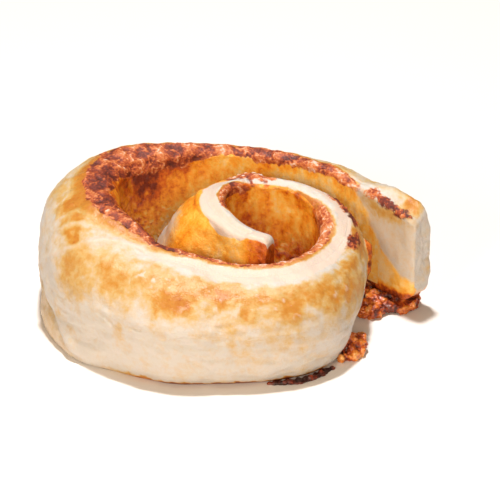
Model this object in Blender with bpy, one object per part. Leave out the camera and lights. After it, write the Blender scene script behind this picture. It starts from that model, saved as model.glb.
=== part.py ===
"""A baked scroll: one thick strip of dough, spread with filling and coiled loosely on its edge.

The strip starts at its outer end on the right, runs behind, round the left and across the front, and winds in to
a tip in the middle. +X is right, +Y is away from the viewer and +Z is up, in metres. The origin is on the surface
that the scroll stands on, under the middle of its box.
"""

import math

import bmesh
import bpy
import numpy as np
from mathutils import Vector, noise

# Sizes are in millimetres and become metres where a mesh is made.
MM = 0.001
GAP = 0.35

# The rim is the top of the strip's open inner face. These are its plan points, from the outer end to the tip:
# a hand-coiled strip follows no regular spiral.
RIM = [
    (48.0, 0.0), (39.4, 8.0), (26.9, 18.4), (11.9, 27.0), (-4.6, 30.0), (-20.6, 27.4), (-30.6, 19.9),
    (-32.9, 7.9), (-28.6, -5.1), (-17.6, -16.4), (-2.6, -22.0), (11.9, -22.2), (20.4, -15.6),
    (24.3, -7.1), (24.0, 1.9), (18.2, 8.6), (9.4, 11.2), (1.4, 9.2), (-2.0, 2.9), (0.0, -4.6),
    (4.4, -10.6), (10.4, -14.6),
]

# How the strip's outline changes from its outer end, at share 0 of its length, to its tip, at share 1. Each is a
# list of (share, value) pairs, eased between them. All but the last two hold millimetres.
HEIGHT = [(0, 32), (0.06, 35), (0.12, 37), (0.2, 37), (0.36, 38), (0.44, 36.5), (0.54, 31.5), (0.62, 29),
          (0.71, 29), (0.83, 36), (0.9, 37), (1, 34)]
THICKNESS = [(0, 9), (0.08, 13), (0.27, 14), (0.4, 22.3), (0.5, 23.8), (0.56, 24), (0.66, 18.8), (0.76, 13.5),
             (0.84, 9.5), (0.91, 8.5), (0.96, 6), (1, 5.2)]
LIP = [(0, 2.2), (0.15, 2.5), (0.28, 4), (0.36, 8), (0.43, 8.5), (0.51, 3.5), (0.6, 2), (0.7, 2.4), (0.77, 4),
       (0.84, 2.4), (0.92, 2)]
RISE = [(0, 6), (0.08, 2), (0.15, 0), (0.838, 0), (0.858, 4), (0.882, 0)]
LIFT = [(0, 4.8), (0.075, 4.8), (0.12, 0)]
TUCK = [(0, 2), (0.3, 3), (0.45, 3.2), (0.505, 2), (0.56, 3.6), (0.6, 4.8), (0.66, 4.4), (0.73, 8), (0.8, 5), (0.86, 1)]
FLARE = [(0.86, 0), (0.905, 17), (0.925, 15), (0.955, 3.2), (1, 3)]
SQUARENESS = [(0, 3.4), (0.08, 2.6), (0.18, 1.8), (0.33, 1.8), (0.42, 2.6), (0.6, 2), (0.77, 3.6), (0.84, 2),
              (0.9, 6)]
BULGE = [(0, 0.5), (0.3, 0.42), (0.86, 0.42), (0.905, 0.93)]

# How far a lip falls towards the inner face for its width, how full a flare's side is, and the flare from which it
# is that full
LIP_SLOPE = 0.75
FLARE_FULLNESS = 1.4
WIDE_FLARE = 6

# The solid's fineness: rings along the strip, then points round it by stretch, namely the inner face, the lip,
# the top and outer side, the undercut and the underside
RINGS = 130
STRETCHES = (5, 4, 10, 4, 4)
COIL_STEPS = 5000
OUTER_END_RADIUS = 4
TIP_RADIUS = 2
END_STEPS = 3

# Slow unevenness of hand-rolled dough, which fades out near the tray, and the fold where the left of the wall
# hangs over its own foot
LUMP_SIZE = 17
LUMP_DEPTH = 0.9
LUMP_START = 4
FOLD_SHARES = (0.38, 0.56)
FOLD_HEIGHT = 7.5
FOLD_DEPTH = 1.3
FOLD_EDGE = 1.5

# The baked filling: a skin over the inner face and its lip, which ends short of the outer end and of the tip. Its
# edge stands bare of the dough over the seam, and its crust is craggy where the lip is wide.
FILLING_SHARES = (0.058, 0.99)
SEAM = 0.025
FILLING_DEPTH = 1.2
FILLING_EDGE = 0.6
FILLING_FOOT = 1.6
CRUST_SIZE = 3.4
CRUST_DEPTH = 1.1
WIDE_LIP = 5

# Filling that ran out and burnt on the tray, as puddles along the strip: the first and last share, the height, and
# how far the near and the far edge stand out from the dough's side, at the bottom and at the top
LEAKS = {
    "leaked_filling_end": ((-0.022, 0.09), 4.3, (-13.8, -1), (-12.5, -2)),
    "leaked_filling_side": ((0.69, 0.724), 6.4, (-4.4, 1.6), (-0.2, 1)),
    "leaked_filling_front": ((0.635, 0.685), 1.5, (-2.7, -0.1), (-1.2, -0.4)),
}
LEAK_RINGS = 20
LEAK_OUTLINE = [
    (0, 0), (0.33, 0), (0.67, 0), (1, 0), (1.03, 0.3), (1, 0.7), (0.92, 1), (0.65, 1), (0.35, 1), (0.08, 1),
    (0, 0.7), (0, 0.3),
]
CRAG_SIZE = 2.6
CRAG_DEPTH = 0.8
WIDE_LEAK = 6

DOUGH_COLOUR = (0.84, 0.66, 0.40)
FILLING_COLOUR = (0.58, 0.26, 0.06)
BURNT_COLOUR = (0.34, 0.08, 0.02)


def clear_scene():
    for old in list(bpy.data.objects):
        bpy.data.objects.remove(old, do_unlink=True)


def material(name, colour, roughness):
    made = bpy.data.materials.new(name)
    made.use_nodes = True
    shader = made.node_tree.nodes["Principled BSDF"]
    shader.inputs["Base Color"].default_value = (*colour, 1)
    shader.inputs["Roughness"].default_value = roughness
    shader.inputs["Metallic"].default_value = 0
    return made


def smoothstep(low, high, value):
    part = min(max((value - low) / (high - low), 0), 1)
    return part * part * (3 - 2 * part)


def eased(profile, share):
    """The value of a profile at a share of the strip's length."""
    for (start, before), (end, after) in zip(profile, profile[1:]):
        if share <= end:
            return before + (after - before) * smoothstep(start, end, share)
    return profile[-1][1]


def natural_spline(points):
    """A function from a run along the chords to the point of the natural cubic spline there, and the full run."""
    points = np.array(points, float)
    gaps = np.linalg.norm(np.diff(points, axis=0), axis=1)
    knots = np.concatenate([[0], np.cumsum(gaps)])
    system = np.eye(len(points))
    change = np.zeros_like(points)
    for i in range(1, len(points) - 1):
        system[i, i - 1 : i + 2] = gaps[i - 1], 2 * (gaps[i - 1] + gaps[i]), gaps[i]
        change[i] = 6 * ((points[i + 1] - points[i]) / gaps[i] - (points[i] - points[i - 1]) / gaps[i - 1])
    bend = np.linalg.solve(system, change)

    def at(runs):
        i = np.clip(np.searchsorted(knots, runs) - 1, 0, len(gaps) - 1)
        gap = gaps[i][:, None]
        before = (runs - knots[i])[:, None]
        after = gap - before
        straight = (points[i] * after + points[i + 1] * before) / gap
        curve = bend[i] * (after**3 / gap - gap * after) + bend[i + 1] * (before**3 / gap - gap * before)
        return straight + curve / 6

    return at, knots[-1]


def stations(rings, shares=(0, 1)):
    """For each ring its share of the strip's length, and the rim's point, way along and way out in plan."""
    at, length = natural_spline(RIM)
    fine = at(np.linspace(0, length, COIL_STEPS))
    runs = np.concatenate([[0], np.cumsum(np.linalg.norm(np.diff(fine, axis=0), axis=1))])
    way = np.gradient(fine, runs, axis=0)
    made = []
    for share in np.linspace(*shares, rings):
        x, y, along_x, along_y = (np.interp(share * runs[-1], runs, row) for row in (*fine.T, *way.T))
        along = np.array([along_x, along_y])
        beyond = along * min(share, 0) * runs[-1]
        made.append((share, np.array([x, y]) + beyond, along, np.array([along_y, -along_x])))
    return made


def inner_side(share, foot=0.0, sunk=0.0, sunk_edge=0.0):
    """The inner face from the foot up and over its lip, as (distance out from the rim, height) rows.

    It can lie sunk into the dough, by one depth on the face and another where the lip ends."""
    inner, lip_points, *_ = STRETCHES
    height, lip, lift = eased(HEIGHT, share), eased(LIP, share), eased(LIFT, share)
    top = height - LIP_SLOPE * lip
    rows = [(sunk, z) for z in np.linspace(lift + foot, top, inner, endpoint=False)]
    for turn in np.linspace(0, math.pi / 2, lip_points + 1):
        rows.append((lip + (sunk - lip) * math.cos(turn), top + (height - sunk_edge - top) * math.sin(turn)))
    return rows


def dough_section(share):
    """The strip's outline at a share of its length, as (distance out from the rim, height) rows."""
    height, thick, tuck, flare, rise, lift, squareness, bulge = (
        eased(profile, share) for profile in (HEIGHT, THICKNESS, TUCK, FLARE, RISE, LIFT, SQUARENESS, BULGE)
    )
    top, under, floor = STRETCHES[2:]
    covered = smoothstep(FILLING_SHARES[0] - SEAM, FILLING_SHARES[0], share)
    rows = inner_side(share, 0, (FILLING_DEPTH + GAP) * covered, (FILLING_EDGE + GAP) * covered)
    lip, crest = rows.pop()
    widest = bulge * height
    for turn in np.linspace(0, math.pi / 2, top, endpoint=False):
        reach = math.sin(turn)
        rounding = math.sqrt(1 - reach**squareness)
        rows.append((lip + (thick - lip) * reach, widest + (crest - widest + rise * reach) * rounding))
    fullness = 1 + (FLARE_FULLNESS - 1) * min(flare / WIDE_FLARE, 1)
    for turn in np.linspace(0, math.pi / 2, under, endpoint=False):
        reach = math.sin(turn)
        fall = (1 - reach**fullness) ** (1 / fullness)
        rows.append((thick - tuck * (1 - math.cos(turn)) + flare * reach, lift + (widest - lift) * fall))
    heel = rows[0][0]
    foot = thick - tuck + flare
    rows += [(foot + (heel - foot) * k / floor, lift) for k in range(floor)]
    return np.array(rows)


def filling_section(share, rim):
    """The filling's outline: up its craggy open side, over the lip and back down against the dough."""
    against = np.array(inner_side(share, FILLING_FOOT, FILLING_DEPTH, FILLING_EDGE))
    rows = np.array(inner_side(share, FILLING_FOOT))
    away = (rows - against) / np.linalg.norm(rows - against, axis=1)[:, None]
    inner = STRETCHES[0]
    wide = min(eased(LIP, share) / WIDE_LIP, 1)
    for k in range(len(rows)):
        spot = Vector((*rim, rows[k, 0] + rows[k, 1])) / CRUST_SIZE
        crag = CRUST_DEPTH * wide * max(0.4 + noise.noise(spot), 0)
        rows[k] += away[k] * crag * smoothstep(inner - 1, inner + 1, k)
    return np.concatenate([rows, against[::-1]])


def placed(section, rim, out, forward=(0, 0)):
    """A section's rows as points in metres, standing out from the rim."""
    x = rim[0] + forward[0] + out[0] * section[:, 0]
    y = rim[1] + forward[1] + out[1] * section[:, 0]
    return np.stack([x, y, section[:, 1]], axis=1) * MM


def rounded_end(section, rim, along, out, radius):
    """Rings that carry on past an end of the strip and shrink, so that the end is blunt with round edges."""
    size = np.ptp(section, axis=0)
    middle = section.min(axis=0) + size / 2
    rings = []
    for turn in np.linspace(0, math.pi / 2, END_STEPS + 1)[1:]:
        scale = 1 - 2 * radius * (1 - math.cos(turn)) / size
        rings.append(placed(middle + (section - middle) * scale, rim, out, along * radius * math.sin(turn)))
    return rings


def fold(share, height):
    """How far the wall is drawn in at a height above its foot, by the fold low on the left."""
    first, last = FOLD_SHARES
    along_fold = (share - first) / (last - first)
    if not 0 < along_fold < 1:
        return 0
    crease = FOLD_HEIGHT * (1 - along_fold) + FOLD_EDGE
    below = 1 - smoothstep(crease - FOLD_EDGE, crease + FOLD_EDGE, height)
    return FOLD_DEPTH * math.sqrt(math.sin(math.pi * along_fold)) * below


def lofted(name, rings, look, collection):
    """One closed body through rings of equally many points, with a flat cap on the first and on the last."""
    bm = bmesh.new()
    loops = [[bm.verts.new(point) for point in ring] for ring in rings]
    for one, two in zip(loops, loops[1:]):
        for k in range(len(one)):
            bm.faces.new((one[k - 1], one[k], two[k], two[k - 1]))
    bm.faces.new(loops[0])
    bm.faces.new(reversed(loops[-1]))
    bmesh.ops.recalc_face_normals(bm, faces=bm.faces)
    mesh = bpy.data.meshes.new(name)
    bm.to_mesh(mesh)
    bm.free()
    mesh.shade_smooth()
    mesh.materials.append(look)
    made = bpy.data.objects.new(name, mesh)
    collection.objects.link(made)
    return made


def build_dough(look, collection):
    """The coiled strip with its blunt ends, lumpy on its top and outer side and flat where it stands."""
    coil = stations(RINGS)
    sections = [dough_section(share) for share, *_ in coil]
    rings = [placed(section, rim, out) for section, (_, rim, _, out) in zip(sections, coil)]
    _, rim, along, out = coil[0]
    outer_end = rounded_end(sections[0], rim, -along, out, OUTER_END_RADIUS)
    _, rim, along, out = coil[-1]
    tip = rounded_end(sections[-1], rim, along, out, TIP_RADIUS)
    made = lofted("dough_scroll", outer_end[::-1] + rings + tip, look, collection)
    shares = [0] * END_STEPS + [share for share, *_ in coil] + [1] * END_STEPS
    inside = sum(STRETCHES[:2])
    moves = []
    for vertex in made.data.vertices:
        ring, place = divmod(vertex.index, sum(STRETCHES))
        above_foot = vertex.co.z / MM - eased(LIFT, shares[ring])
        lumps = LUMP_DEPTH * noise.noise(vertex.co / (LUMP_SIZE * MM)) * smoothstep(0, LUMP_START, above_foot)
        outside = smoothstep(inside - 1, inside + 3, place)
        moves.append(vertex.normal * MM * outside * (lumps - fold(shares[ring], above_foot)))
    for vertex, move in zip(made.data.vertices, moves):
        move.z *= vertex.co.z > 0
        vertex.co += move


def build_filling(look, collection):
    """The skin of filling that the strip was spread with, dark and craggy where it baked over the rim."""
    coil = stations(RINGS, FILLING_SHARES)
    rings = [placed(filling_section(share, rim), rim, out) for share, rim, _, out in coil]
    lofted("baked_filling", rings, look, collection)


def build_leak(name, look, collection):
    """One puddle of burnt filling, which thins out towards both of its ends."""
    shares, height, bottom, top = LEAKS[name]
    rings = []
    for share, rim, _, out in stations(LEAK_RINGS, shares):
        run = 2 * (share - shares[0]) / (shares[1] - shares[0]) - 1
        fullness = math.sqrt(1.02 - run**2)
        rows = []
        for across, up in LEAK_OUTLINE:
            near, far = (low + (high - low) * up for low, high in zip(bottom, top))
            spread = 0.5 + (across - 0.5) * fullness
            crag = noise.noise(Vector((*rim, 0)) / CRAG_SIZE + Vector((across * 3, up * 3, share)))
            depth = CRAG_DEPTH * min(1, (far - near) / WIDE_LEAK) * fullness
            level = height * up * math.sqrt(fullness) - depth * (0.5 + 0.5 * crag) * up
            rows.append((eased(THICKNESS, share) + near + (far - near) * spread + depth * crag, level))
        rings.append(placed(np.array(rows), rim, out))
    lofted(name, rings, look, collection)


def main():
    clear_scene()
    collection = bpy.data.collections.new("baked_scroll")
    bpy.context.scene.collection.children.link(collection)
    build_dough(material("dough", DOUGH_COLOUR, 0.6), collection)
    build_filling(material("filling", FILLING_COLOUR, 0.35), collection)
    burnt_look = material("burnt filling", BURNT_COLOUR, 0.4)
    for name in LEAKS:
        build_leak(name, burnt_look, collection)


main()
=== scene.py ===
"""A baked cheese and bacon scroll, one coiled strip of dough with its filling, on a pale floor under soft light."""

import math

import bmesh
import bpy
import numpy as np
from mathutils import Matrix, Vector


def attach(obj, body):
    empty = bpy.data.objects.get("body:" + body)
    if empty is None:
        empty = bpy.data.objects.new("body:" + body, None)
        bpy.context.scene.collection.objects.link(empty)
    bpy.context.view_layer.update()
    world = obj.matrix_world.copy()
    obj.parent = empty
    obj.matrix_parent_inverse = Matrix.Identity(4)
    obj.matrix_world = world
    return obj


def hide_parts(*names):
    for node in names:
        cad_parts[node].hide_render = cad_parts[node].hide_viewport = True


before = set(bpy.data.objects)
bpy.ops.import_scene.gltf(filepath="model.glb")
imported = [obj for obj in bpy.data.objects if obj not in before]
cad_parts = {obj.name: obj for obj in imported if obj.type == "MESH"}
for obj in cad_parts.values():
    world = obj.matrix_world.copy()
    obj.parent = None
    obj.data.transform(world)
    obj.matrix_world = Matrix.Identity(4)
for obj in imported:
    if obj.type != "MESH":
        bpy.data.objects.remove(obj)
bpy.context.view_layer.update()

# The dough. One strip of plain bread dough, rolled out 10 to 24 mm thick and coiled by hand, then baked standing on
# its edge. The oven browned its shoulders, left the wall pale near the tray and charred it beside the rim.
MM = 0.001

# Plan points of the rim, the top of the open inner face, in millimetres from the outer end to the tip
RIM = np.array([
    (48.0, 0.0), (39.4, 8.0), (26.9, 18.4), (11.9, 27.0), (-4.6, 30.0), (-20.6, 27.4), (-30.6, 19.9),
    (-32.9, 7.9), (-28.6, -5.1), (-17.6, -16.4), (-2.6, -22.0), (11.9, -22.2), (20.4, -15.6),
    (24.3, -7.1), (24.0, 1.9), (18.2, 8.6), (9.4, 11.2), (1.4, 9.2), (-2.0, 2.9), (0.0, -4.6),
    (4.4, -10.6), (10.4, -14.6),
])

# The outline's sizes in millimetres at shares of the strip's length, 0 at the outer end and 1 at the tip
HEIGHT = [(0, 32), (0.06, 35), (0.12, 37), (0.2, 37), (0.36, 38), (0.44, 36.5), (0.54, 31.5), (0.62, 29),
          (0.71, 29), (0.83, 36), (0.9, 37), (1, 34)]
THICKNESS = [(0, 9), (0.08, 13), (0.27, 14), (0.4, 22.3), (0.5, 23.8), (0.56, 24), (0.66, 18.8), (0.76, 13.5),
             (0.84, 9.5), (0.91, 8.5), (0.96, 6), (1, 5.2)]
LIP = [(0, 2.2), (0.15, 2.5), (0.28, 4), (0.36, 8), (0.43, 8.5), (0.51, 3.5), (0.6, 2), (0.7, 2.4), (0.77, 4),
       (0.84, 2.4), (0.92, 2)]
RISE = [(0, 6), (0.08, 2), (0.15, 0), (0.838, 0), (0.858, 4), (0.882, 0)]
LIFT = [(0, 4.8), (0.075, 4.8), (0.12, 0)]
TUCK = [(0, 2), (0.3, 3), (0.45, 3.2), (0.505, 2), (0.56, 3.6), (0.6, 4.8), (0.66, 4.4), (0.73, 8), (0.8, 5),
        (0.86, 1)]
FLARE = [(0.86, 0), (0.905, 17), (0.925, 15), (0.955, 3.2), (1, 3)]
SQUARENESS = [(0, 3.4), (0.08, 2.6), (0.18, 1.8), (0.33, 1.8), (0.42, 2.6), (0.6, 2), (0.77, 3.6), (0.84, 2),
              (0.9, 6)]
BULGE = [(0, 0.5), (0.3, 0.42), (0.86, 0.42), (0.905, 0.93)]
LIP_SLOPE = 0.75
FLARE_FULLNESS = 1.4
WIDE_FLARE = 6

# Points along the strip and round it: the inner face, the lip, the top and outer side, and the underside
RINGS = 560
FACE_POINTS = 34
LIP_POINTS = 10
WALL_POINTS = 112
FLOOR_POINTS = 4
RIM_STEPS = 5000
OVER_STEPS = 160
UNDER_STEPS = 100

# What stands for the way down from the lip's edge on the foot and on a cut face
ON_FOOT = 99
ON_CUT = 50

# Where the filling lies on the strip, as shares, its thickness on the face and at the lip's edge, and how far its
# foot is above the tray. The dough lies back for it by a little more, fading in before it and out at the tip.
FILLING_SHARES = (0.058, 0.99)
SEAM = 0.025
RECESS_END = (0.987, 0.98)
FILLING_DEPTH = 1.2
FILLING_EDGE = 0.6
FILLING_FOOT = 1.6
GAP = 0.35


def smooth(low, high, values):
    """0 at low, 1 at high, and eased between them. It falls where low is above high."""
    part = np.clip((values - low) / (high - low), 0, 1)
    return part * part * (3 - 2 * part)


def window(edges, values):
    """0 outside four rising edges, 1 between the middle two, and eased from one to the other."""
    return smooth(*edges[:2], values) * smooth(*edges[:1:-1], values)


def eased(profile, shares):
    """A profile's value at each share, eased from one of its pairs to the next."""
    values = np.full(shares.shape, float(profile[-1][1]))
    for (start, before), (end, after) in reversed(list(zip(profile, profile[1:]))):
        values = np.where(shares <= end, before + (after - before) * smooth(start, end, shares), values)
    return values


def rim_spline(runs):
    """The natural cubic spline through the rim at runs along its chords, or its full run when runs is None."""
    gaps = np.linalg.norm(np.diff(RIM, axis=0), axis=1)
    knots = np.concatenate([[0], np.cumsum(gaps)])
    if runs is None:
        return knots[-1]
    system = np.eye(len(RIM))
    change = np.zeros_like(RIM)
    for i in range(1, len(RIM) - 1):
        system[i, i - 1 : i + 2] = gaps[i - 1], 2 * (gaps[i - 1] + gaps[i]), gaps[i]
        change[i] = 6 * ((RIM[i + 1] - RIM[i]) / gaps[i] - (RIM[i] - RIM[i - 1]) / gaps[i - 1])
    bend = np.linalg.solve(system, change)
    i = np.clip(np.searchsorted(knots, runs) - 1, 0, len(gaps) - 1)
    gap = gaps[i][:, None]
    before = (runs - knots[i])[:, None]
    after = gap - before
    straight = (RIM[i] * after + RIM[i + 1] * before) / gap
    curve = bend[i] * (after**3 / gap - gap * after) + bend[i + 1] * (before**3 / gap - gap * before)
    return straight + curve / 6


fine_rim = rim_spline(np.linspace(0, rim_spline(None), RIM_STEPS))
fine_run = np.concatenate([[0], np.cumsum(np.linalg.norm(np.diff(fine_rim, axis=0), axis=1))])
fine_way = np.gradient(fine_rim, fine_run, axis=0)
STRIP_LENGTH = fine_run[-1]


def stations(shares):
    """The rim's points, ways along and ways out in plan at shares of the strip's length."""
    runs = np.asarray(shares) * STRIP_LENGTH
    rim = np.stack([np.interp(runs, fine_run, row) for row in fine_rim.T], axis=1)
    along = np.stack([np.interp(runs, fine_run, row) for row in fine_way.T], axis=1)
    return rim, along, np.stack([along[:, 1], -along[:, 0]], axis=1)


def face_and_lip(shares, foot, sunk, sunk_edge, face_points, lip_points):
    """The inner face from its foot up and over the lip, as arrays of distance out from the rim and of height."""
    height, lip, lift = (eased(profile, shares)[:, None] for profile in (HEIGHT, LIP, LIFT))
    top = height - LIP_SLOPE * lip
    up = np.linspace(0, 1, face_points, endpoint=False)
    turn = np.linspace(0, math.pi / 2, lip_points + 1)
    face_z = lift + foot + (top - lift - foot) * up
    lip_n = lip + (sunk - lip) * np.cos(turn)
    lip_z = top + (height - sunk_edge - top) * np.sin(turn)
    return np.hstack([sunk + 0 * face_z, lip_n]), np.hstack([face_z, lip_z])


def recessed(shares):
    """How far the dough lies back for the filling at shares of the strip's length, from 0 to 1."""
    return (smooth(FILLING_SHARES[0] - SEAM, FILLING_SHARES[0], shares) * smooth(*RECESS_END, shares))[:, None]


def top_and_wall(shares, count):
    """The strip's top, outer side and undercut, at equal steps from the lip's edge to the foot."""
    values = (HEIGHT, THICKNESS, LIP, RISE, LIFT, TUCK, FLARE, SQUARENESS, BULGE)
    height, thick, lip, rise, lift, tuck, flare, square, bulge = (eased(v, shares)[:, None] for v in values)
    crest = height - (FILLING_EDGE + GAP) * recessed(shares)
    widest = bulge * height
    reach = np.sin(np.linspace(0, math.pi / 2, OVER_STEPS))
    over_n = lip + (thick - lip) * reach
    over_z = widest + (crest - widest + rise * reach) * np.sqrt(1 - reach**square)
    turn = np.linspace(0, math.pi / 2, UNDER_STEPS)[1:]
    reach = np.sin(turn)
    full = 1 + (FLARE_FULLNESS - 1) * np.minimum(flare / WIDE_FLARE, 1)
    under_n = thick - tuck * (1 - np.cos(turn)) + flare * reach
    under_z = lift + (widest - lift) * np.maximum(1 - reach**full, 0) ** (1 / full)
    n, z = np.hstack([over_n, under_n]), np.hstack([over_z, under_z])
    run = np.cumsum(np.hypot(np.diff(n, prepend=n[:, :1]), np.diff(z, prepend=z[:, :1])), axis=1)
    steps = [np.linspace(0, whole[-1], count) for whole in run]
    n = np.array([np.interp(step, whole, row) for step, whole, row in zip(steps, run, n)])
    z = np.array([np.interp(step, whole, row) for step, whole, row in zip(steps, run, z)])
    return n, z, np.array(steps)


def placed(shares, n, z):
    """Points in metres at distances out from the rim and heights, one row for each share."""
    rim, _, out = stations(shares)
    plan = rim[:, None] + out[:, None] * n[..., None]
    return np.concatenate([plan, z[..., None]], axis=2) * MM


def tube(name, rings):
    """A closed mesh through rings of equally many points, with a small cap on each end."""
    count, around = rings.shape[:2]
    k = np.arange(around)
    start = np.arange(count - 1)[:, None] * around
    left, right = start + (k - 1) % around, start + k
    quads = np.stack([left, right, right + around, left + around], axis=2).reshape(-1, 4)
    caps = [list(range(around)), list(range(count * around - 1, (count - 1) * around - 1, -1))]
    mesh = bpy.data.meshes.new(name)
    mesh.from_pydata(rings.reshape(-1, 3).tolist(), [], quads.tolist() + caps)
    bm = bmesh.new()
    bm.from_mesh(mesh)
    bmesh.ops.recalc_face_normals(bm, faces=bm.faces)
    bm.to_mesh(mesh)
    bm.free()
    mesh.shade_smooth()
    return mesh


# Random slopes on a lattice of cells, and how much finer and fainter each next layer of the noise is
CELLS = 32
SLOPES = np.random.default_rng(4).normal(size=(CELLS, CELLS, CELLS, 3))
SLOPES /= np.linalg.norm(SLOPES, axis=3, keepdims=True)
FINER = 2.1
FAINTER = 0.54
LOUDNESS = 1.5


def grain(points, size, octaves=1, shift=0.0):
    """Smooth noise of about -1 to 1 at each point, with features of a size in millimetres."""
    spots = points / (size * MM) + shift
    total = np.zeros(len(points))
    for octave in range(octaves):
        cell = np.floor(spots).astype(int)
        part = spots - cell
        ease = part**3 * (part * (part * 6 - 15) + 10)
        for corner in np.ndindex(2, 2, 2):
            slope = SLOPES[tuple(((cell + corner) % CELLS).T)]
            weight = np.prod(np.where(corner, ease, 1 - ease), axis=1)
            total += FAINTER**octave * weight * (slope * (part - corner)).sum(axis=1)
        spots = spots * FINER + CELLS / 3
    return LOUDNESS * total


def places_of(mesh):
    """The mesh's points and their normals."""
    points = np.empty(len(mesh.vertices) * 3, np.float32)
    normals = np.empty(len(mesh.vertices) * 3, np.float32)
    mesh.vertices.foreach_get("co", points)
    mesh.vertex_normals.foreach_get("vector", normals)
    return points.reshape(-1, 3).astype(float), normals.reshape(-1, 3).astype(float)


# The rounded edge of each cut face, in millimetres, and the share of the face that closes with one flat facet
OUTER_END_RADIUS = 4
TIP_RADIUS = 2
END_STEPS = 10
LAST_FACET = 0.03


def shrunk_end(ring, along, radius, steps):
    """Rings that carry on past an end of the strip, round its edge and close over its cut face."""
    middle = (ring.max(axis=0) + ring.min(axis=0)) / 2
    spread = np.abs(ring - middle).max()
    rings = []
    for turn in np.linspace(0, math.pi / 2, steps + 1)[1:]:
        scale = 1 - radius * MM * (1 - math.cos(turn)) / spread
        rings.append(middle + (ring - middle) * scale + along * radius * MM * math.sin(turn))
    for inward in np.linspace(1, LAST_FACET, 2 * steps)[1:]:
        rings.append(middle + (ring - middle) * scale * inward + along * radius * MM)
    return np.array(rings)


shares = np.linspace(0, 1, RINGS)
back_face, back_edge = (FILLING_DEPTH + GAP) * recessed(shares), (FILLING_EDGE + GAP) * recessed(shares)
face_n, face_z = face_and_lip(shares, 0, back_face, back_edge, FACE_POINTS, LIP_POINTS)
wall_n, wall_z, wall_down = top_and_wall(shares, WALL_POINTS)
back = np.arange(1, FLOOR_POINTS) / FLOOR_POINTS
floor_n = wall_n[:, -1:] + (face_n[:, :1] - wall_n[:, -1:]) * back
dough_n = np.hstack([face_n[:, :-1], wall_n, floor_n])
dough_z = np.hstack([face_z[:, :-1], wall_z, wall_z[:, -1:] + 0 * floor_n])
dough_down = np.hstack([face_z[:, :-1] - face_z[:, -1:], wall_down, ON_FOOT + 0 * floor_n])
dough_rings = placed(shares, dough_n, dough_z)
_, ways, _ = stations(shares)
outer_end = shrunk_end(dough_rings[0], np.array([*-ways[0], 0]), OUTER_END_RADIUS, END_STEPS)[::-1]
tip_end = shrunk_end(dough_rings[-1], np.array([*ways[-1], 0]), TIP_RADIUS, END_STEPS)
dough_mesh = tube("dough", np.concatenate([outer_end, dough_rings, tip_end]))
points, normals = places_of(dough_mesh)

# Each vertex's share of the strip's length, its way down from the lip's edge in millimetres, which is below zero
# on the inner face, and its place round the strip
around = dough_n.shape[1]
on_cut = np.concatenate([np.ones(2 * END_STEPS - 1), np.zeros(2 * END_STEPS + RINGS), np.ones(2 * END_STEPS - 1)])
vertex_share = np.concatenate([0 * outer_end[:, 0, 0], shares, 0 * tip_end[:, 0, 0] + 1]).repeat(around)
same = np.ones((len(outer_end), 1))
vertex_down = np.concatenate([same * dough_down[:1], dough_down, same * dough_down[-1:]]).ravel()
vertex_down[on_cut.repeat(around) > 0] = ON_CUT
place_round = np.tile(np.arange(around), len(on_cut))


def spot_at(share, down):
    """The point of the bare strip at a share of its length and a way down from the lip's edge."""
    ring = np.argmin(np.abs(shares - share))
    return dough_rings[ring, np.argmin(np.abs(dough_down[ring] - down))]


# Where a spot ends and where it is full, as parts of its reach, and how ragged its edge is
SPOT_REACH = (1.45, 0.15)
SPOT_RAGGEDNESS = 0.4
SPOT_GRAIN = 0.55


def near_spot(points, shares, share, down, along, across):
    """1 at a spot and 0 from about its reach in millimetres along the strip and across it, with an uneven edge."""
    near = np.zeros(len(points))
    close = np.abs(shares - share) * STRIP_LENGTH < 2 * along + 3
    away = (points[close] - spot_at(share, down)) / MM
    onward = away @ np.append(stations([share])[1][0], 0)
    sideways = np.sqrt(np.maximum((away**2).sum(axis=1) - onward**2, 0))
    ragged = SPOT_RAGGEDNESS * grain(points[close], SPOT_GRAIN * min(along, across), 3, 71.5)
    near[close] = smooth(*SPOT_REACH, np.hypot(onward / along, sideways / across) + ragged)
    return near


def near_line(points, line, width):
    """1 on a line through spots of the strip, and 0 from its width in millimetres."""
    best = np.full(len(points), np.inf)
    ends = [spot_at(*spot) for spot in line]
    for one, two in zip(ends, ends[1:]):
        run = two - one
        part = np.clip((points - one) @ run / (run @ run), 0, 1)
        best = np.minimum(best, np.linalg.norm(points - one - part[:, None] * run, axis=1))
    return smooth(width * MM, 0, best)


# How brown the shoulder is along the strip, and where its brown starts and ends down from the lip
SHOULDER = [(0, 0.05), (0.08, 0.3), (0.2, 0.4), (0.36, 0.3), (0.42, 0.2), (0.48, 0.26), (0.54, 0.32), (0.6, 0.36),
            (0.7, 0.36), (0.76, 0.3), (0.8, 0.2), (1, 0.15)]
SHOULDER_START = [(0.4, 1), (0.47, 3), (0.53, 6), (0.6, 7.5), (0.7, 8.5), (0.75, 6.5), (0.8, 4)]
SHOULDER_END = [(0.3, 15), (0.42, 12), (0.5, 20), (0.6, 21), (0.7, 22), (0.8, 20)]
SHOULDER_MOTTLING = 0.6
CLOUDS = 0.16
FRECKLES = 0.1
OUTER_FACE = 0.06
OUTER_FACE_TOAST = 0.07
HALO_TOAST = 0.72

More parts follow.
